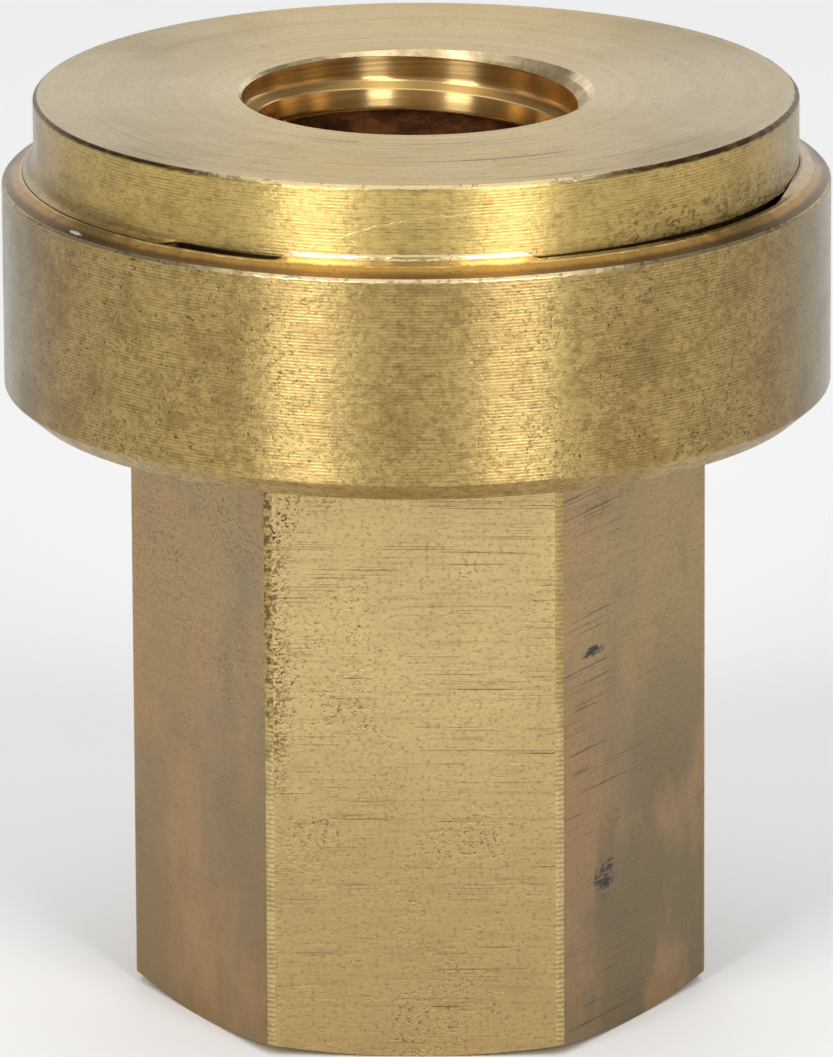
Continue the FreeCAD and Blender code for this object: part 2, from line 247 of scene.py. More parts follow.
def weld(mesh):
    """Join the first and last columns, and rows that fall together."""
    work = bmesh.new()
    work.from_mesh(mesh)
    bmesh.ops.remove_doubles(work, verts=work.verts, dist=0.0003 * MM)
    bmesh.ops.dissolve_degenerate(work, edges=work.edges, dist=0.0001 * MM)
    work.to_mesh(mesh)
    work.free()


def shade(piece):
    """Smooth shading, except over real edges."""
    mesh = piece.data
    mesh.polygons.foreach_set("use_smooth", np.ones(len(mesh.polygons), bool))
    mesh.set_sharp_from_angle(angle=math.radians(SMOOTH_DEG))


# One turn of the thread: how far up the pitch, as a share, and the radius there.
# It begins at the lower edge of a crest. Above the crest is the flank that faces up.
THREAD_OUTLINE = (
    (0.000, CREST_R + 0.06),
    (0.010, CREST_R + 0.015),
    (0.026, CREST_R),
    (0.180, CREST_R + 0.045),
    (0.335, CREST_R + 0.125),
    (0.350, CREST_R + 0.17),
    (0.362, CREST_R + 0.25),
    (0.405, ROOT_R - 0.25),
    (0.422, ROOT_R - 0.11),
    (0.450, ROOT_R - 0.03),
    (0.500, ROOT_R),
    (0.845, ROOT_R),
    (0.860, ROOT_R - 0.06),
    (0.985, CREST_R + 0.12),
)
OUTLINE_SHARES = [share for share, _ in THREAD_OUTLINE]
OUTLINE_RADII = [radius for _, radius in THREAD_OUTLINE]


def thread_radius(z, start, angles):
    """Radius of the right-hand female thread. At angle 0 a crest's lower edge is at height start."""
    phase = ((z - start) / THREAD_PITCH - angles / TURN) % 1.0
    return np.interp(phase, OUTLINE_SHARES, OUTLINE_RADII, period=1.0)


def thread_marks():
    """Shares of the pitch at which a mesh row is needed."""
    marks = OUTLINE_SHARES + [1.0]
    rows = []
    for low, high in zip(marks, marks[1:]):
        parts = math.ceil((high - low) * THREAD_PITCH / MAX_THREAD_ROW)
        rows += [low + (high - low) * part / parts for part in range(parts)]
    return rows


def thread_rows(low, high, start, cone):
    """Rings of a thread from low to high. The rows follow the helix, so its edges stay crisp.

    cone is the radius of the countersink at a height, and the thread is cut back to it.
    """
    first = math.floor((low - start) / THREAD_PITCH) - 1
    last = math.ceil((high - start) / THREAD_PITCH)
    heights = [start + (turn + mark + ANGLES / TURN) * THREAD_PITCH
               for turn in range(first, last + 1) for mark in thread_marks()]
    z = np.clip(np.array(heights), low, high)
    for column, angle in enumerate(ANGLES):
        snap_to_cone(z[:, column], angle, start, cone)
    radii = thread_radius(z, start, ANGLES)
    return list(zip(np.maximum(radii, cone(z)), z))


def snap_to_cone(z, angle, start, cone):
    """Move the row nearest to where the thread leaves the countersink exactly there."""
    inside = cone(z) - thread_radius(z, start, angle)
    for row in np.nonzero((inside[:-1] > 0) != (inside[1:] > 0))[0]:
        share = inside[row] / (inside[row] - inside[row + 1])
        place = z[row] + share * (z[row + 1] - z[row])
        z[row if share < 0.5 else row + 1] = place


def hexagon_radius():
    """Radius of the hexagon with turned corners, at each angle."""
    from_flat = (ANGLES + math.pi / 2 + math.pi / 6) % (math.pi / 3) - math.pi / 6
    return np.minimum(HEX_FLATS / 2 / np.cos(from_flat), CORNER_R)


# ---- housing -----------------------------------------------------------------------------------
TURNED, FACED, MILLED, LAND, BORE, LIP, EDGE = range(7)


def make_housing(materials):
    """Hexagon, head, rim and bores as one closed turned mesh, with the vent drilled through."""
    o = Outline()
    hexagon = hexagon_radius()
    rise = (hexagon - END_FACE_R) * math.tan(math.radians(END_CHAMFER_DEG))
    o.skin = FACED
    o.ring(MOUTH_R, 0)
    o.ring(END_FACE_R, 0)
    o.skin = MILLED
    for share in (0.0, 0.003, 0.25, 0.5, 0.75, 0.995):
        o.ring(hexagon, rise + (HEAD_BOTTOM - rise) * share)
    o.skin = FACED
    o.ring(hexagon, HEAD_BOTTOM)
    o.skin = TURNED
    slope = (FOOT_CHAMFER_R, FOOT_CHAMFER_H)
    o.corner(HEAD_R - FOOT_CHAMFER_R, HEAD_BOTTOM, (1, 0), slope, size=0.05)
    o.corner(HEAD_R, HEAD_BOTTOM + FOOT_CHAMFER_H, slope, (0, 1), size=0.10)
    nicks = np.minimum(uneven(11, 60, 0.05), 0) * (0.3 + 0.7 * between(-40, 38, blur=12))
    o.skin = EDGE
    o.corner(HEAD_R, WALL_TOP + nicks, (0, 1), (-1, 1), size=0.04, flat=0.02)
    lip_rows(o, nicks)
    o.skin = BORE
    inside_rows(o)
    thread = thread_rows(0, INLET_THREAD_END, INLET_CREST_AT_RIGHT, cone=lambda z: MOUTH_R - z)
    for r, z in reversed(thread):
        o.ring(r, z)
    housing = o.mesh("housing", materials, land_skin=LAND, flat_skin=MILLED)
    drill_vent(housing, materials)
    shade(housing)
    return housing


def lip_rows(o, nicks):
    """Top of the head's rim: a slope up to the crest, then the gap at the cap.

    In front the crest was pushed against the cap and shuts the gap with a hollow fillet.
    To the right it does so less, and nearly wholly again at the far right.
    """
    ripple = uneven(3, 30, 0.010)
    shut = np.maximum(between(-19.0, 18.5, blur=2.5), 0.50 * between(16, 42, blur=6))
    shut = np.maximum(shut, 0.38 * between(36, 70, blur=6))
    shut = np.maximum(shut, 0.95 * between(68, 120, blur=22))
    top = HEAD_TOP + 0.03 * shut + ripple
    crest_r = LIP_CREST_R + 0.5 * ripple
    o.skin = LIP
    o.corner(HEAD_R - RIM_EDGE + 0.5 * nicks, WALL_TOP + RIM_EDGE, (-1, 1), (-1, 0.5),
             size=0.03, flat=0.05)
    o.ring(LIP_CREST_R + 0.50, HEAD_TOP - 0.27 + 0.5 * ripple)
    o.ring(crest_r + 0.16, top - 0.065)
    o.ring(crest_r + 0.10, top - 0.025)
    o.ring(crest_r + 0.04, top - 0.008)
    o.ring(crest_r, top - 0.002)
    o.blend(shut,
            [(crest_r - 0.02, top - 0.008), (crest_r - 0.03, top - 0.02), (crest_r - 0.04, top - 0.05),
             (crest_r - 0.05, top - 0.1), (crest_r - 0.08, top - 0.3), (crest_r - 0.2, GAP_FLOOR)],
            [(crest_r - 0.05, top + 0.008), (crest_r - 0.25, top + 0.03), (crest_r - 0.45, top + 0.08),
             (crest_r - 0.58, top + 0.17), (CAP_R + 0.03, top + 0.32), (CAP_R + 0.02, top + 0.46)])
    o.ring(CAP_R + 0.02, GAP_FLOOR)


def inside_rows(o):
    """Recess, cylinder and chambers, from the cap's joint down to the inlet thread."""
    steps = (
        (CAP_R + 0.02, CAP_SEAT),
        (CAP_SEAL_OUT_R, CAP_SEAT), (CAP_SEAL_OUT_R, CAP_SEAL_FLOOR),
        (CAP_SEAL_IN_R, CAP_SEAL_FLOOR), (CAP_SEAL_IN_R, CAP_SEAT),
        (CYLINDER_R, CAP_SEAT), (CYLINDER_R, CYLINDER_FLOOR),
        (CHAMBER_R, CYLINDER_FLOOR), (CHAMBER_R, CHAMBER_FLOOR),
        (SEAL_BORE_R, CHAMBER_FLOOR), (SEAL_BORE_R, WEB_TOP),
        (WEB_BORE_R, WEB_TOP), (WEB_BORE_R, WEB_BOTTOM),
        (INLET_CHAMBER_R, WEB_BOTTOM), (INLET_CHAMBER_R, HOLDER_TOP),
        (HOLDER_BORE_R, HOLDER_TOP), (HOLDER_BORE_R, HOLDER_BOTTOM),
        (RELIEF_R, HOLDER_BOTTOM), (RELIEF_R, INLET_THREAD_END),
    )
    for r, z in steps:
        o.ring(r, z)


def drill_vent(housing, materials):
    """Cut the vent hole and the seat of its filter plug through the back flat."""
    sides = 64
    inner_y = 11.0
    outer_y = 16.0
    chamfer_y = 14.9
    chamfer = 0.15
    outline = ((0, inner_y), (VENT_R, inner_y),
               (VENT_R, VENT_SEAT_Y), (VENT_SEAT_R, VENT_SEAT_Y),
               (VENT_SEAT_R, chamfer_y), (VENT_SEAT_R + chamfer, chamfer_y + chamfer),
               (VENT_SEAT_R + chamfer, outer_y), (0, outer_y))
    work = bmesh.new()
    rings = []
    for r, y in outline:
        turns = [TURN * k / sides for k in range(sides)] if r else [0]
        rings.append([work.verts.new((r * math.cos(t) * MM, y * MM, (VENT_Z + r * math.sin(t)) * MM))
                      for t in turns])
    for low, high in zip(rings, rings[1:]):
        for k in range(sides):
            corners = [low[k % len(low)], low[(k + 1) % len(low)],
                       high[(k + 1) % len(high)], high[k % len(high)]]
            face = work.faces.new(list(dict.fromkeys(corners)))
            face.material_index = BORE
    bmesh.ops.recalc_face_normals(work, faces=work.faces)
    mesh = bpy.data.meshes.new("vent_drill")
    work.to_mesh(mesh)
    work.free()
    for material in materials:
        mesh.materials.append(material)
    drill = add_object("vent_drill", mesh)
    cut = housing.modifiers.new("vent", "BOOLEAN")
    cut.operation = "DIFFERENCE"
    cut.solver = "EXACT"
    cut.object = drill
    view = bpy.context.evaluated_depsgraph_get()
    drilled = bpy.data.meshes.new_from_object(housing.evaluated_get(view))
    housing.modifiers.clear()
    housing.data = drilled
    bpy.data.objects.remove(drill)


def make_cap(materials):
    """Cap disc with its female thread, countersink, edge and screwed spigot."""
    o = Outline()
    o.skin = BORE
    quarter = 0.25
    start = OUTLET_CREST_AT_BACK - THREAD_PITCH * quarter
    for r, z in thread_rows(CAP_SEAT, CAP_TOP, start, cone=lambda z: MOUTH_R - (CAP_TOP - z)):
        deep = (z < PAINTED_SHADE_TOP) & (r > SHALLOW_ROOT_R)
        o.ring(np.where(deep, SHALLOW_ROOT_R, r), z)
    o.skin = FACED
    nicks = np.minimum(uneven(5, 40, 0.03), 0) * (0.4 + between(-75, 30, blur=20))
    notch = 0.10 * between(23.6, 25.0, blur=0.6)
    face_middle_r = 17.0
    o.ring(MOUTH_R + 0.03, CAP_TOP)
    o.ring(face_middle_r, CAP_TOP)
    edge = CAP_EDGE + (0.06 + uneven(17, 30, 0.03)) * between(24, 120, blur=24)
    o.skin = EDGE
    o.corner(CAP_R - edge, CAP_TOP, (1, 0), (1, -1), size=0.04, flat=0.05)
    o.skin = TURNED
    o.corner(CAP_R, CAP_TOP - edge + nicks - notch, (1, -1), (0, -1), size=0.05)
    cap_wall_rows(o)
    o.skin = BORE
    o.ring(CAP_SPIGOT_R, GAP_FLOOR - 0.3)
    o.ring(CAP_SPIGOT_R, CAP_SEAT + CAP_FOOT_EDGE)
    o.ring(CAP_SPIGOT_R - CAP_FOOT_EDGE, CAP_SEAT)
    o.ring(CAP_RELIEF_OUT_R, CAP_SEAT)
    o.ring(CAP_RELIEF_OUT_R, CAP_SEAT + CAP_RELIEF_DEPTH)
    o.ring(CAP_RELIEF_IN_R, CAP_SEAT + CAP_RELIEF_DEPTH)
    o.ring(CAP_RELIEF_IN_R, CAP_SEAT)
    cap = o.mesh("cap", materials)
    shade(cap)
    return cap


def cap_wall_rows(o):
    """Side wall of the cap down to its lower edge, and the undercut below.

    To the left metal was smeared out of the wall, as a smooth hollow that ends on the rim's crest.
    """
    smear = between(-122, -37.6, blur=2.2)
    low_edge = HEAD_TOP + 0.07 + 0.04 * between(-45, -28, blur=12) + 0.06 * between(37, 78, blur=14)
    crest = HEAD_TOP + 0.04
    reach = LIP_CREST_R - 0.04 - CAP_R
    wall_high = CAP_TOP - CAP_EDGE - 0.3
    wall_low = crest + 0.42 + 0.80 * between(-140, -50, blur=22)
    for share in np.linspace(0.04, 1, 20):
        z = wall_high + (wall_low - wall_high) * share
        o.ring(CAP_R + cap_wall_dents(z), z)
    shares = np.linspace(0.08, 1, 12)
    straight = [(CAP_R + cap_wall_dents(wall_low + (low_edge - wall_low) * share),
                 wall_low + (low_edge - wall_low) * share) for share in shares]
    hollow = [(CAP_R + reach * (1 - math.sqrt(1 - share ** 2)),
               wall_low + (crest - wall_low) * share) for share in shares]
    o.blend(smear, straight, hollow)
    o.blend(smear,
            [(CAP_R - 0.03, low_edge - 0.03), (CAP_R - 0.30, low_edge - 0.22),
             (CAP_R - 0.35, GAP_FLOOR + 0.4)],
            [(CAP_R + reach - 0.01, crest - 0.03), (CAP_R + 0.4, crest - 0.14),
             (CAP_R - 0.1, crest - 0.4)])
    o.ring(CAP_R - 0.35, GAP_FLOOR)


def cap_wall_dents(z):
    """Small dents in the cap's side wall, worst low on the right."""
    low = np.clip((HEAD_TOP + 1.9 - z) / 1.3, 0, 1)
    rough = np.minimum(uneven(int(np.mean(z) * 100), 60, 0.03), 0)
    place = 0.05 + 0.95 * between(42, 84, blur=14)
    return rough * place * low - 0.004


# ---- spring --------------------------------------------------------------------------------------
def make_spring(material):
    """Helical compression spring of round wire, with both ends ground flat."""
    sides = 24
    rings_per_turn = 96
    rings = rings_per_turn * SPRING_TURNS + 1
    centre_bottom = SPRING_BOTTOM + SPRING_WIRE_R - SPRING_END_CUT
    centre_top = SPRING_TOP - SPRING_WIRE_R + SPRING_END_CUT
    share = np.linspace(0, 1, rings)[:, None]
    turn = share * TURN * SPRING_TURNS
    around = (np.arange(sides) * TURN / sides)[None, :]
    r = SPRING_MEAN_R + SPRING_WIRE_R * np.cos(around)
    z = centre_bottom + (centre_top - centre_bottom) * share + SPRING_WIRE_R * np.sin(around)
    z = np.clip(z, SPRING_BOTTOM, SPRING_TOP)
    points = np.stack([r * np.cos(turn), r * np.sin(turn), z], axis=-1) * MM
    faces = [tuple(range(sides)), tuple(range((rings - 1) * sides, rings * sides))]
    for ring in range(rings - 1):
        for side in range(sides):
            here = ring * sides + side
            beside = ring * sides + (side + 1) % sides
            faces.append((here, beside, beside + sides, here + sides))
    mesh = bpy.data.meshes.new("coil_spring")
    mesh.from_pydata(points.reshape(-1, 3).tolist(), [], faces)
    mesh.materials.append(material)
    work = bmesh.new()
    work.from_mesh(mesh)
    bmesh.ops.recalc_face_normals(work, faces=work.faces)
    work.to_mesh(mesh)
    work.free()
    spring = add_object("coil_spring", mesh)
    shade(spring)
    return spring


# ---- shader helper -----------------------------------------------------------------------------
class Shader:
    """Short calls for building one material out of nodes."""

    def __init__(self, name):
        self.material = bpy.data.materials.new(name)
        self.material.use_nodes = True
        self.tree = self.material.node_tree
        self.tree.nodes.clear()
        place = self.add("ShaderNodeTexCoord")
        self.place = place.outputs["Object"]
        split = self.add("ShaderNodeSeparateXYZ", {0: self.place})
        self.x, self.y, self.z = split.outputs
        self.across = self.math("ABSOLUTE", self.x)
        self.r = self.length(self.x, self.y)

    def add(self, kind, inputs=None, **settings):
        """Add a node, set its options and inputs, and link the inputs that are sockets."""
        node = self.tree.nodes.new(kind)
        for key, value in settings.items():
            setattr(node, key, value)
        for key, value in (inputs or {}).items():
            if isinstance(value, bpy.types.NodeSocket):
                self.tree.links.new(value, node.inputs[key])
            else:
                node.inputs[key].default_value = value
        return node

    def math(self, operation, a, b=0.0):
        """One operation on sockets or numbers."""
        return self.add("ShaderNodeMath", {0: a, 1: b}, operation=operation).outputs[0]

    def total(self, *parts):
        """Sum of (value, weight) pairs."""
        result = None
        for value, weight in parts:
            part = self.math("MULTIPLY", value, weight)
            result = part if result is None else self.math("ADD", result, part)
        return result

    def length(self, a, b):
        """Length of the vector with these two parts."""
        squares = self.math("ADD", self.product(a, a), self.product(b, b))
        return self.math("SQRT", squares)

    def product(self, first, *others):
        """Product of all the values."""
        for other in others:
            first = self.math("MULTIPLY", first, other)
        return first

    def stretched(self, around, along, shift=0.0):
        """The place scaled by one factor across the axis and another along it, per metre."""
        return self.add("ShaderNodeMapping", {"Vector": self.place, "Scale": (around, around, along),
                                              "Location": (shift, shift, 0)}).outputs[0]

    def radial(self, along_radius, around):
        """A coordinate that changes fast with the radius, for a faced surface."""
        x = self.product(self.x, around)
        y = self.product(self.y, around)
        fast = self.product(self.r, along_radius)
        return self.add("ShaderNodeCombineXYZ", {0: x, 1: y, 2: fast}).outputs[0]

    def noise(self, vector, scale=1.0, detail=2.0, roughness=0.5):
        """Noise from 0 to 1 at a place, with this many features per metre."""
        return self.add("ShaderNodeTexNoise", {"Vector": vector, "Scale": scale, "Detail": detail,
                                               "Roughness": roughness}).outputs["Fac"]

    def band(self, value, low, high):
        """0 below low, 1 above high, smooth between. low may be above high to turn it round."""
        start, end = (low, high) if low < high else (high, low)
        ends = {"From Min": start, "From Max": end}
        ends.update({"To Min": 0.0, "To Max": 1.0} if low < high else {"To Min": 1.0, "To Max": 0.0})
        inputs = {"Value": value, **ends}
        return self.add("ShaderNodeMapRange", inputs, interpolation_type="SMOOTHSTEP").outputs[0]

    def blot(self, x_mm, z_mm, size_mm, tall=1.0, ragged=0.8):
        """A ragged spot around one place, seen from the front."""
        to_x = self.math("SUBTRACT", self.x, x_mm * MM)
        to_z = self.product(self.math("SUBTRACT", self.z, z_mm * MM), 1 / tall)
        edge = self.noise(self.place, scale=1600, detail=4.0, roughness=0.7)
        wander = self.product(self.math("SUBTRACT", edge, 0.5), 4 * ragged * size_mm * MM)
        far = self.math("ADD", self.length(to_x, to_z), wander)
        spot = self.band(far, 1.1 * size_mm * MM, 0.6 * size_mm * MM)
        return self.product(spot, self.math("LESS_THAN", self.y, 0.0))

    def mix(self, share, a, b):
        """Color a at share 0, and b at share 1."""
        node = self.add("ShaderNodeMix", data_type="RGBA", blend_type="MIX")
        for socket, value in ((node.inputs[0], share), (node.inputs[6], a), (node.inputs[7], b)):
            if isinstance(value, bpy.types.NodeSocket):
                self.tree.links.new(value, socket)
            elif socket.type == "RGBA":
                socket.default_value = (*value, 1.0)
            else:
                socket.default_value = value
        return node.outputs[2]

    def tint(self, color, tone, *shares):
        """Mix a tone into a color by a share, or by the product of several."""
        return self.mix(self.product(*shares), color, tone)

    def bump(self, height, depth_mm):
        """A bump whose height of 0 to 1 stands for the given depth."""
        inputs = {"Height": height, "Distance": depth_mm * MM, "Strength": 1.0}
        return self.add("ShaderNodeBump", inputs).outputs[0]

    def finish(self, color, roughness, normal, metallic=1.0, anisotropic=0.0):
        """The finished material. Anisotropic metal has its streaks around the axis."""
        inputs = {"Base Color": color if isinstance(color, bpy.types.NodeSocket) else (*color, 1.0),
                  "Roughness": roughness, "Metallic": metallic}
        if normal is not None:
            inputs["Normal"] = normal
        if anisotropic:
            tangent = self.add("ShaderNodeTangent", direction_type="RADIAL", axis="Z").outputs[0]
            inputs.update({"Anisotropic": anisotropic, "Anisotropic Rotation": 0.25,
                           "Tangent": tangent})
        surface = self.add("ShaderNodeBsdfPrincipled", inputs)
        self.add("ShaderNodeOutputMaterial", {"Surface": surface.outputs[0]})
        return self.material


# ---- materials -----------------------------------------------------------------------------------
CLEAN = (0.55, 0.40, 0.148)
BRIGHT = (0.71, 0.52, 0.178)
PALE = (0.585, 0.44, 0.205)
BROWN = (0.37, 0.235, 0.085)
# Tarnish brown, also used for painted shade.
TARNISH_AND_SHADE = (0.26, 0.165, 0.065)
GREY = (0.24, 0.19, 0.11)
DARK = (0.10, 0.062, 0.026)
BLACK = (0.045, 0.04, 0.035)
# Dark brown for the gap between the cap and the rim: painted shade, with some dark patina.
GAP_SHADE_AND_PATINA = (0.18, 0.115, 0.045)


def specks(s, per_metre, low, high, shift=0.0):
    """Small dark specks of irregular shape and size."""
    grain = s.noise(s.stretched(per_metre, 1.25 * per_metre, shift), detail=2.0, roughness=0.6)
    return s.band(grain, low, high)


def smear_edge(s):
    """Thin raised edge of a smear on the cap's front: an arch, highest a little to the right."""
    top_x, top_z = 4.0, 53.7
    fall_per_mm = 0.0225
    off_x = s.math("SUBTRACT", s.x, top_x * MM)
    fall = s.product(off_x, off_x, fall_per_mm / MM)
    wander = s.math("SUBTRACT", s.noise(s.place, scale=700, detail=4.0, roughness=0.7), 0.5)
    off_z = s.total((s.z, 1.0), (fall, 1.0), (wander, 0.7 * MM))
    off = s.math("ABSOLUTE", s.math("SUBTRACT", off_z, top_z * MM))
    ends = s.product(s.band(s.x, -7.0 * MM, -5.5 * MM), s.band(s.x, 7.2 * MM, 6.4 * MM))
    broken = s.band(s.noise(s.place, scale=1100, detail=2.0), 0.40, 0.55)
    return s.product(s.band(off, 0.07 * MM, 0.015 * MM), ends, broken, s.math("LESS_THAN", s.y, 0.0))


def turned_brass(name, clean, feed_mm=0.192, tarnish=0.5, dirt=0.8, roughness=0.22, anisotropic=0.95,
                 bruised=False):
    """Turned side of a cylinder: fine rings at the feed of the tool, tarnish, grain and small pits."""
    s = Shader(name)
    wander = s.noise(s.stretched(60, 500), detail=1.0)
    phase = s.total((s.z, 1 / (feed_mm * MM)), (wander, 0.8))
    feed = s.math("SINE", s.product(phase, TURN))
    fading = s.band(s.noise(s.stretched(260, 900), detail=2.0), 0.25, 0.60)
    rings = s.product(feed, fading)
    streaks = s.noise(s.stretched(110, 7500), detail=3.0, roughness=0.65)
    short = s.noise(s.stretched(1100, 6500), detail=3.0, roughness=0.65)
    grain = s.noise(s.stretched(2300, 3300), detail=3.0, roughness=0.7)
    clouds = s.band(s.noise(s.place, scale=260, detail=6.0, roughness=0.75), 0.46, 0.62)
    mottle = s.band(s.noise(s.stretched(1300, 1700), detail=5.0, roughness=0.8), 0.46, 0.60)
    dusty = s.band(s.noise(s.place, scale=240, detail=3.0), 0.34, 0.60)
    sides = s.math("ADD", s.product(s.band(s.across, 3 * MM, 11 * MM), 0.5), 0.5)
    pits = s.product(specks(s, 4200, 0.56, 0.72), dusty, sides, dirt)
    large = s.product(specks(s, 2100, 0.65, 0.76, shift=3.7), sides, dirt)
    stain = s.math("MAXIMUM", pits, large)
    color = s.mix(s.product(clouds, 0.8 * tarnish), clean, BROWN)
    color = s.tint(color, TARNISH_AND_SHADE, mottle, 0.8 * tarnish)
    color = s.tint(color, TARNISH_AND_SHADE, s.band(streaks, 0.60, 0.30), 0.20)
    color = s.tint(color, TARNISH_AND_SHADE, s.band(short, 0.50, 0.30), 0.55)
    color = s.tint(color, TARNISH_AND_SHADE, s.band(grain, 0.49, 0.33), 0.15 + 0.85 * tarnish)
    color = s.tint(color, TARNISH_AND_SHADE, s.band(rings, 0.0, -1.0), 0.10)
    color = s.tint(color, DARK, stain)
    # Painted shade and painted reflection: darker toward the sides, and greyer near the outline, where
    # the wall reflects the grey surroundings.
    color = s.tint(color, TARNISH_AND_SHADE, s.band(s.across, 15 * MM, 21 * MM), 0.28)
    color = s.tint(color, GREY, s.band(s.across, 20.0 * MM, 24.2 * MM), 0.80)
    # Painted shade with dark patina in the undercut below the cap's lower edge, above the rim.
    under = s.product(s.band(s.r, (CAP_R - 0.14) * MM, (CAP_R - 0.20) * MM),
                      s.band(s.z, (HEAD_TOP + 0.3) * MM, (HEAD_TOP + 0.2) * MM))
    color = s.tint(color, GAP_SHADE_AND_PATINA, under, s.math("GREATER_THAN", s.z, (HEAD_TOP - 1.3) * MM))
    height = s.total((rings, 0.36), (streaks, 0.35), (short, 0.7), (grain, 1.6), (stain, -1.0))
    if bruised:
        bruise = s.product(s.band(s.x, 9 * MM, 14 * MM), s.band(s.z, 53.8 * MM, 52.2 * MM))
        dents = s.noise(s.stretched(2100, 2900), detail=4.0, roughness=0.65)
        color = s.tint(color, TARNISH_AND_SHADE, bruise, s.band(dents, 0.50, 0.38))
        ridge = smear_edge(s)
        color = s.tint(color, (0.86, 0.72, 0.42), ridge, 0.35)
        height = s.total((height, 1.0), (s.product(dents, bruise), 4.5), (ridge, 0.8))
    rough = s.math("ADD", s.total((streaks, 0.10), (clouds, 0.06), (short, 0.08)), roughness - 0.02)
    return s.finish(color, rough, s.bump(height, 0.012), anisotropic=anisotropic)


def faced_brass(name):
    """Faced end: fine arcs about the axis, short scratches along them, chatter and small specks."""
    s = Shader(name)
    arcs = s.noise(s.radial(7000, 40), detail=3.0, roughness=0.6)
    coarse = s.noise(s.radial(1300, 25), detail=3.0, roughness=0.6)
    short = s.noise(s.radial(5200, 420), detail=3.0, roughness=0.65)
    chatter = s.noise(s.radial(1900, 900), detail=2.0, roughness=0.5)
    chatter_place = s.band(s.noise(s.place, scale=75, detail=2.0), 0.44, 0.62)
    tool = s.math("SINE", s.product(s.r, TURN / (0.35 * MM)))
    patches = s.band(s.noise(s.place, scale=110, detail=5.0, roughness=0.65), 0.40, 0.75)
    scratch = s.band(s.noise(s.radial(3200, 130), detail=4.0, roughness=0.7), 0.61, 0.68)
    front = s.band(s.y, -9 * MM, -14 * MM)
    worked = s.math("ADD", s.product(front, 0.55), 0.45)
    cuts = s.product(s.band(s.noise(s.radial(4200, 45), detail=2.0, roughness=0.5), 0.625, 0.67),
                     s.band(s.noise(s.place, scale=120, detail=2.0), 0.42, 0.54), front)
    stain = s.product(specks(s, 2600, 0.64, 0.72), 0.6)
    color = s.mix(s.product(patches, 0.55), (0.62, 0.457, 0.182), CLEAN)
    color = s.tint(color, BROWN, s.band(coarse, 0.6, 0.35), 0.25)
    color = s.tint(color, TARNISH_AND_SHADE, s.band(arcs, 0.5, 0.25), worked, 0.35)
    color = s.tint(color, TARNISH_AND_SHADE, s.band(short, 0.46, 0.26), worked, 0.60)
    color = s.tint(color, TARNISH_AND_SHADE, scratch, worked, 0.7)
    color = s.tint(color, DARK, cuts, 0.75)
    color = s.tint(color, DARK, stain)
    # Painted shade: the left and right of the face greyer and darker.
    color = s.tint(color, GREY, s.band(s.across, 6 * MM, 18 * MM), 0.52)
    height = s.total((s.product(arcs, worked), 0.9), (coarse, 0.6), (tool, 0.12),
                     (s.product(short, worked), 1.0), (stain, -0.5),
                     (s.product(chatter, chatter_place), 1.6))
    rough = s.math("ADD", s.total((arcs, 0.15), (patches, 0.08)), 0.18)
    return s.finish(color, rough, s.bump(height, 0.020), anisotropic=0.75)


def edge_brass(name, side_shade):
    """Cut edges: pale near the front and the back as a painted highlight, and dark brown toward the
    sides as painted shade.
    """
    s = Shader(name)
    wander = s.noise(s.place, scale=800, detail=4.0, roughness=0.7)
    place = s.math("ADD", s.across, s.product(s.math("SUBTRACT", wander, 0.5), 9 * MM))
    side = s.band(place, 10.8 * MM, 13.4 * MM)
    chips = s.product(specks(s, 1800, 0.55, 0.62), 0.6)
    # Painted highlight: pale bright brass near the front and the back.
    color = s.mix(s.product(wander, 0.3), (0.82, 0.66, 0.38), BROWN)
    color = s.tint(color, TARNISH_AND_SHADE, chips)
    # Painted shade: dark brown toward the sides.
    brown = s.mix(s.band(wander, 0.48, 0.66), (0.065, 0.032, 0.009), (0.20, 0.105, 0.03))
    color = s.tint(color, brown, side, side_shade)
    return s.finish(color, s.math("ADD", s.product(wander, 0.2), 0.2), s.bump(wander, 0.03))


def lip_brass(name):
    """Top of the rim: pale on the crest, golden on the slope and brown toward its outer edge. The
    crest's paleness in front is a painted highlight, and all of it is darker toward the sides as
    painted shade.
    """
    s = Shader(name)
    wander = s.noise(s.place, scale=900, detail=4.0, roughness=0.7)
    rings = s.noise(s.radial(4200, 60), detail=2.0)
    far = s.math("ADD", s.r, s.product(s.math("SUBTRACT", wander, 0.5), 0.35 * MM))
    slope = s.band(far, (LIP_CREST_R + 0.10) * MM, (LIP_CREST_R + 0.22) * MM)
    outer = s.band(far, (LIP_CREST_R + 0.40) * MM, (LIP_CREST_R + 0.75) * MM)
    # Painted shade: gold, brown and the crest darker toward the sides. Painted highlight: the crest
    # pale in front.
    side = s.band(s.across, 7 * MM, 15 * MM)
    gold = s.mix(side, (0.48, 0.285, 0.07), (0.36, 0.205, 0.048))
    brown = s.mix(side, (0.26, 0.155, 0.055), (0.13, 0.07, 0.02))
    crest = s.mix(s.band(s.across, 13 * MM, 18 * MM), (0.80, 0.63, 0.33), (0.42, 0.30, 0.13))
    color = s.mix(slope, crest, s.mix(outer, gold, brown))
    color = s.tint(color, TARNISH_AND_SHADE, s.band(rings, 0.45, 0.3), 0.35)
    color = s.tint(color, DARK, specks(s, 3200, 0.62, 0.70), 0.5)
    chip = s.blot(-19.7, HEAD_TOP - 0.42, 0.42, tall=0.14, ragged=0.3)
    color = s.tint(color, (0.90, 0.86, 0.78), chip)
    # Painted shade with dark patina down in the gap at the cap, which is also made rougher.
    in_gap = s.product(s.band(s.z, (HEAD_TOP - 0.03) * MM, (HEAD_TOP - 0.10) * MM),
                       s.band(s.r, (LIP_CREST_R - 0.01) * MM, (LIP_CREST_R - 0.05) * MM))
    color = s.tint(color, GAP_SHADE_AND_PATINA, in_gap, 0.92)
    rough = s.math("ADD", s.total((rings, 0.12), (wander, 0.15), (in_gap, 0.4)), 0.12)
    return s.finish(color, rough, s.bump(s.total((wander, 1.0), (rings, 0.5)), 0.008), anisotropic=0.6)


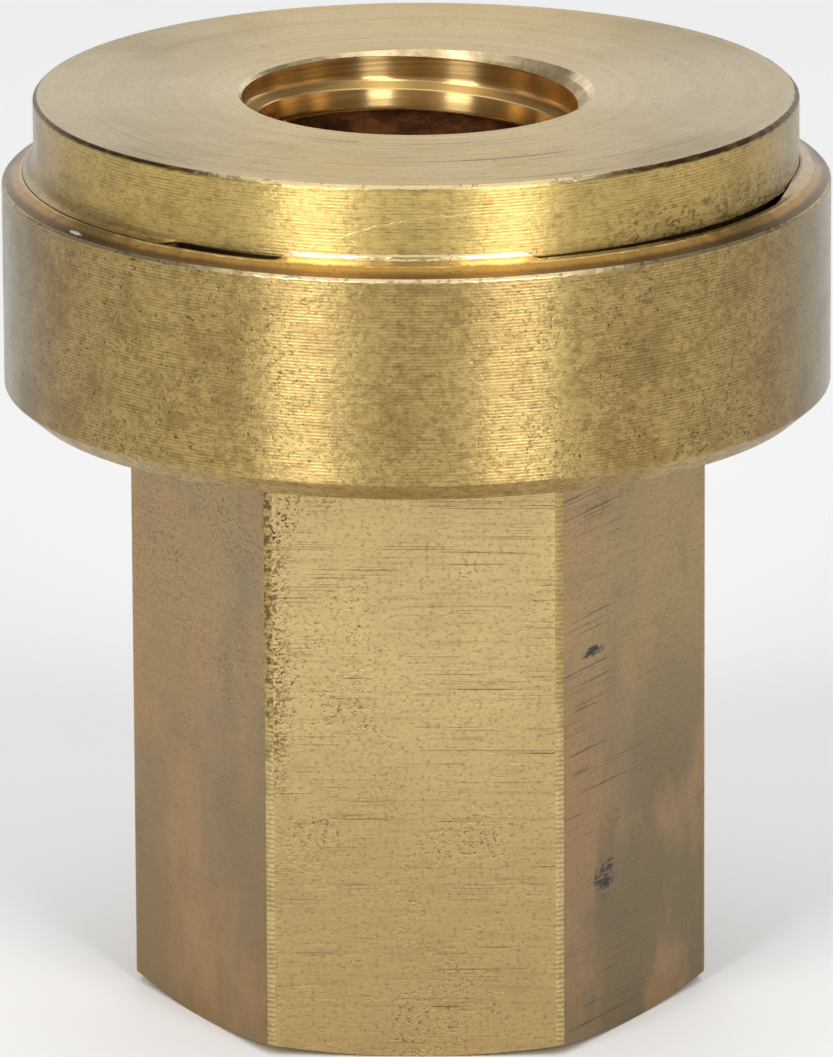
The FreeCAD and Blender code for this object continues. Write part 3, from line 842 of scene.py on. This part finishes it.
def milled_brass(name):
    """Flat of the hexagon: drawn bar surface with fine cuts, pits, grain, warm clouds and knocks."""
    s = Shader(name)
    side = s.band(s.across, 8.2 * MM, 9.0 * MM)
    low = s.band(s.z, 28 * MM, 8 * MM)
    streaks = s.noise(s.stretched(60, 2600), detail=5.0, roughness=0.7)
    grain = s.noise(s.stretched(3200, 4600), detail=3.0, roughness=0.7)
    rubbed = s.noise(s.stretched(420, 2400), detail=4.0, roughness=0.7)
    warm = s.band(s.noise(s.stretched(130, 75, 2.3), detail=5.0, roughness=0.65), 0.42, 0.60)
    cold = s.band(s.noise(s.stretched(160, 90, 5.1), detail=5.0, roughness=0.65), 0.48, 0.66)
    worn = s.band(s.noise(s.stretched(210, 500), detail=3.0), 0.40, 0.60)
    lines = s.band(s.noise(s.stretched(70, 12000), detail=3.0, roughness=0.6), 0.58, 0.68)
    lines = s.product(lines, worn, s.math("SUBTRACT", 1.0, s.product(side, 0.8)))
    scratches = s.band(s.noise(s.stretched(80, 6500, 1.7), detail=3.0, roughness=0.55), 0.59, 0.66)
    scratches = s.product(scratches, s.band(s.x, 8.2 * MM, 9 * MM), s.band(s.x, 15 * MM, 11.5 * MM),
                          s.band(s.noise(s.place, scale=200), 0.46, 0.60))
    near_corner = s.band(s.x, -6.0 * MM, -8.3 * MM)
    pitted = s.total((s.band(s.noise(s.place, scale=230, detail=3.0), 0.46, 0.68), 0.9),
                     (s.product(near_corner, s.band(s.z, 16 * MM, 25 * MM)), 0.9))
    front = s.math("SUBTRACT", 1.0, s.product(side, 0.6))
    pits = s.product(specks(s, 4300, 0.54, 0.70), pitted, front)
    chewed = s.product(specks(s, 3500, 0.49, 0.60, shift=1.3), s.band(s.x, -6.9 * MM, -8.3 * MM),
                       s.band(s.x, -8.75 * MM, -8.65 * MM), s.band(s.z, 13 * MM, 20 * MM),
                       s.band(s.z, 34 * MM, 30 * MM))
    pits = s.math("MAXIMUM", pits, chewed)
    knocks = s.math("MAXIMUM", s.blot(10.5, 24.2, 0.60, tall=0.6), s.blot(11.2, 9.9, 0.60, tall=1.7))
    knocks = s.product(knocks, s.band(s.noise(s.stretched(900, 5200), detail=3.0), 0.36, 0.56))
    # Painted shade: the flats darker toward the bottom. The side flats are also darker and greyer,
    # most low down on the right.
    color = s.mix(s.product(low, 0.34), PALE, TARNISH_AND_SHADE)
    color = s.tint(color, TARNISH_AND_SHADE, side, 0.55)
    color = s.tint(color, TARNISH_AND_SHADE, side, low, 0.75)
    color = s.tint(color, GREY, side, low, s.band(s.x, 0.0, 5 * MM), 0.85)
    color = s.tint(color, DARK, side, low, s.band(s.x, 0.0, 5 * MM), 0.30)
    warmth = s.math("ADD", s.product(side, 0.40), 0.14)
    color = s.tint(color, (0.48, 0.28, 0.13), warm, warmth)
    color = s.tint(color, GREY, cold, s.math("ADD", s.product(side, 0.40), 0.12))
    color = s.tint(color, TARNISH_AND_SHADE, s.band(streaks, 0.50, 0.30), 0.22)
    color = s.tint(color, TARNISH_AND_SHADE, s.band(rubbed, 0.50, 0.30), 0.22)
    color = s.tint(color, TARNISH_AND_SHADE, s.band(grain, 0.49, 0.33), 0.65)
    color = s.tint(color, DARK, lines, 0.75)
    color = s.tint(color, DARK, pits, 0.75)
    color = s.tint(color, BLACK, s.math("MAXIMUM", s.product(scratches, 0.6), knocks))
    rough = s.math("ADD", s.total((grain, 0.12), (streaks, 0.08), (rubbed, 0.10)), 0.24)
    height = s.total((streaks, 0.45), (grain, 1.4), (rubbed, 0.9), (lines, -0.7), (pits, -1.2),
                     (knocks, -0.6))
    return s.finish(color, rough, s.bump(height, 0.028))


def serrated_brass(name):
    """Turned corner land: small uneven ridges across a narrow strip, dirty on the left, and paler low
    down as a painted highlight.
    """
    s = Shader(name)
    broken = s.noise(s.place, scale=1300, detail=4.0, roughness=0.7)
    phase = s.total((s.z, 1 / (0.3 * MM)), (broken, 1.2))
    ridges = s.math("SINE", s.product(phase, TURN))
    height = s.total((ridges, 0.30), (broken, 1.8))
    left = s.product(s.band(s.x, 0.0, -2 * MM), s.band(s.z, 14 * MM, 24 * MM))
    dirty = s.math("ADD", s.product(left, 0.65), 0.15)
    # Painted highlight: the land paler low down.
    ridge = s.mix(s.band(s.z, 25 * MM, 17 * MM), (0.47, 0.34, 0.13), (0.60, 0.46, 0.21))
    color = s.mix(s.product(s.band(height, 1.05, 0.70), 0.55), ridge, TARNISH_AND_SHADE)
    color = s.tint(color, DARK, specks(s, 2600, 0.48, 0.58), dirty)
    return s.finish(color, 0.34, s.bump(height, 0.007))


def bore_brass(name, shade_top_mm=None):
    """Smooth brass inside the bores, with a painted highlight on the countersink, painted shade on the
    flanks, and dark painted shade in the roots below a height if one is given.
    """
    s = Shader(name)
    streaks = s.noise(s.stretched(25, 5000), detail=2.0, roughness=0.5)
    color = s.mix(s.band(streaks, 0.6, 0.35), (0.78, 0.54, 0.23), (0.66, 0.42, 0.165))
    # Painted shade: the flanks browned, and also made rougher.
    flank = s.product(s.band(s.r, (CREST_R + 0.18) * MM, (CREST_R + 0.24) * MM),
                      s.band(s.r, (ROOT_R - 0.14) * MM, (ROOT_R - 0.22) * MM))
    color = s.tint(color, BROWN, flank, 0.6)
    # Painted highlight: the countersink paler, in patches.
    cone_at = MOUTH_R - CAP_TOP
    cone = s.band(s.math("SUBTRACT", s.r, s.z), (cone_at + 0.04) * MM, (cone_at + 0.01) * MM)
    worn = s.noise(s.place, scale=900, detail=4.0, roughness=0.7)
    pale = s.mix(s.band(worn, 0.4, 0.6), (0.62, 0.5, 0.3), (0.88, 0.74, 0.46))
    color = s.tint(color, pale, cone, 0.8)
    rough = s.math("ADD", s.total((streaks, 0.08), (flank, 0.30)), 0.20)
    # Painted shade: below the given height the roots and flanks are painted dark red-brown and made
    # rougher.
    if shade_top_mm is not None:
        deep = s.band(s.z, (shade_top_mm + 0.02) * MM, (shade_top_mm - 0.04) * MM)
        out = s.band(s.r, (CREST_R + 0.10) * MM, (CREST_R + 0.16) * MM)
        shade_mottle = s.noise(s.stretched(500, 900), detail=5.0, roughness=0.7)
        deep_shade = s.product(deep, out)
        shade_tone = s.mix(s.band(shade_mottle, 0.4, 0.65), (0.09, 0.034, 0.014), (0.22, 0.085, 0.03))
        color = s.tint(color, shade_tone, deep_shade)
        rough = s.math("ADD", rough, s.product(deep_shade, 0.3))
    return s.finish(color, rough, s.bump(streaks, 0.0010), anisotropic=0.92)


def rubber(name):
    """Dull black rubber with a fine grain."""
    s = Shader(name)
    grain = s.noise(s.place, scale=5000, detail=4.0)
    color = s.mix(grain, (0.012, 0.012, 0.012), (0.035, 0.034, 0.033))
    rough = s.math("ADD", s.product(grain, 0.2), 0.55)
    return s.finish(color, rough, s.bump(grain, 0.01), metallic=0.0)


def steel(name, tone, roughness):
    """Steel with fine drawing lines."""
    s = Shader(name)
    lines = s.noise(s.stretched(300, 6000), detail=3.0)
    dark = tuple(0.7 * c for c in tone)
    color = s.mix(lines, dark, tone)
    rough = s.math("ADD", s.product(lines, 0.15), roughness)
    return s.finish(color, rough, s.bump(lines, 0.004))


def plastic(name, tone):
    """Machined plastic with a fine grain."""
    s = Shader(name)
    grain = s.noise(s.place, scale=2500, detail=4.0)
    dark = tuple(0.92 * c for c in tone)
    color = s.mix(grain, dark, tone)
    rough = s.math("ADD", s.product(grain, 0.15), 0.38)
    return s.finish(color, rough, s.bump(grain, 0.006), metallic=0.0)


def sintered(name):
    """Round grains of bronze, dark between them."""
    s = Shader(name)
    grains = s.add("ShaderNodeTexVoronoi", {"Vector": s.place, "Scale": 5200.0}).outputs["Distance"]
    color = s.mix(s.band(grains, 0.2, 0.7), (0.55, 0.38, 0.18), (0.16, 0.1, 0.05))
    return s.finish(color, 0.5, s.bump(grains, -0.08))


# ---- camera, light and floor ---------------------------------------------------------------------
def direction(azimuth, elevation):
    """Unit vector from the object toward a place around it. Azimuth 0 is the camera's side."""
    level = math.cos(elevation)
    return Vector((math.sin(azimuth) * level, -math.cos(azimuth) * level, math.sin(elevation)))


def add_camera():
    """Long lens, a little above the object, square to the front flat."""
    elevation = math.radians(15.83)
    azimuth = math.radians(1.1)
    roll = math.radians(0.29)
    distance_mm = 790.0
    px_per_mm = 16.667
    frame_px = 833.0
    aim = Vector((-0.1, 0.0, 28.41)) * MM
    back = direction(azimuth, elevation)
    right = Vector((math.cos(azimuth), math.sin(azimuth), 0))
    up = back.cross(right)
    tilted_right = math.cos(roll) * right - math.sin(roll) * up
    tilted_up = math.sin(roll) * right + math.cos(roll) * up
    data = bpy.data.cameras.new("camera")
    data.sensor_fit = "HORIZONTAL"
    data.sensor_width = 36.0
    data.lens = data.sensor_width * px_per_mm * distance_mm / frame_px
    data.clip_start = 0.01
    data.clip_end = 10.0
    camera = add_object("camera", data)
    turn = Matrix((tilted_right, tilted_up, back)).transposed().to_4x4()
    camera.matrix_world = Matrix.Translation(aim + back * distance_mm * MM) @ turn
    bpy.context.scene.camera = camera


def add_area_light(name, azimuth_deg, elevation_deg, distance, size, watts):
    """A rectangular soft light that faces the object. Distance and size are in metres."""
    aim = Vector((0, 0, 0.03))
    toward = direction(math.radians(azimuth_deg), math.radians(elevation_deg))
    data = bpy.data.lights.new(name, "AREA")
    data.shape = "RECTANGLE"
    data.size, data.size_y = size
    data.energy = watts
    light = add_object(name, data)
    light.location = aim + toward * distance
    light.rotation_euler = toward.to_track_quat("Z", "Y").to_euler()


def add_studio():
    """Even grey surroundings, four soft lights and a pale floor."""
    world = bpy.data.worlds.new("studio")
    world.use_nodes = True
    world.node_tree.nodes["Background"].inputs[0].default_value = (0.3, 0.3, 0.3, 1)
    world.node_tree.nodes["Background"].inputs[1].default_value = 1.0
    bpy.context.scene.world = world
    add_area_light("left_softbox", -30, 30, 0.8, (0.25, 0.75), 3.8)
    add_area_light("right_softbox", 29, 30, 0.8, (0.24, 0.75), 3.6)
    add_area_light("top_softbox", 180, 80, 1.0, (1.2, 1.2), 4.3)
    add_area_light("back_softbox", 180, 20, 1.0, (1.6, 0.6), 2.1)
    floor_shader = Shader("floor")
    grain = floor_shader.noise(floor_shader.place, scale=30, detail=2.0)
    tone = floor_shader.mix(grain, (0.86, 0.86, 0.86), (0.9, 0.9, 0.9))
    material = floor_shader.finish(tone, 0.9, None, metallic=0.0)
    mesh = bpy.data.meshes.new("floor")
    half = 2.0
    corners = [(-half, -half, 0), (half, -half, 0), (half, half, 0), (-half, half, 0)]
    mesh.from_pydata(corners, [], [(0, 1, 2, 3)])
    mesh.materials.append(material)
    floor = add_object("floor", mesh)


# ---- putting it together ---------------------------------------------------------------------------
def main():
    """Build the two outer pieces and the spring, and give every CAD piece its material."""
    faced = faced_brass("faced_brass")
    milled = milled_brass("milled_brass")
    land = serrated_brass("serrated_brass")
    lip = lip_brass("lip_brass")
    head_wall = turned_brass("head_brass", CLEAN, tarnish=0.62, dirt=0.9)
    housing = make_housing([head_wall, faced, milled, land, bore_brass("bore_brass"), lip,
                            edge_brass("rim_edge_brass", side_shade=0.45)])
    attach(housing, "housing")
    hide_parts("body")
    cap_wall = turned_brass("cap_brass", BRIGHT, tarnish=0.25, dirt=0.3, roughness=0.25,
                            anisotropic=0.9, bruised=True)
    cap_bore = bore_brass("outlet_brass", shade_top_mm=PAINTED_SHADE_TOP)
    cap = make_cap([cap_wall, faced, milled, land, cap_bore, lip,
                    edge_brass("cap_edge_brass", side_shade=0.95)])
    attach(cap, "housing")
    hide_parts("outlet_cap")
    finishes = {
        "rubber": rubber("rubber"),
        "brass_inner": turned_brass("inner_brass", BRIGHT, feed_mm=0.12, tarnish=0.1, dirt=0.0),
        "stainless": steel("stainless", (0.62, 0.61, 0.6), 0.22),
        "plated_steel": steel("plated_steel", (0.58, 0.59, 0.6), 0.3),
        "spring_steel": steel("spring_steel", (0.32, 0.32, 0.33), 0.3),
        "acetal": plastic("acetal", (0.8, 0.8, 0.77)),
        "ptfe": plastic("ptfe", (0.88, 0.88, 0.87)),
        "sintered_bronze": sintered("sintered_bronze"),
    }
    spring = make_spring(finishes["spring_steel"])
    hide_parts("pressure_spring")
    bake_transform(spring)
    for row in frame["record"]["subparts"]:
        material = finishes.get(row["material_slot"])
        if material is None:
            continue
        node = frame["nodes"][row["node"]]
        for slot in node.material_slots:
            slot.material = material
    add_camera()
    add_studio()
    bpy.context.scene.view_settings.view_transform = "Standard"


main()
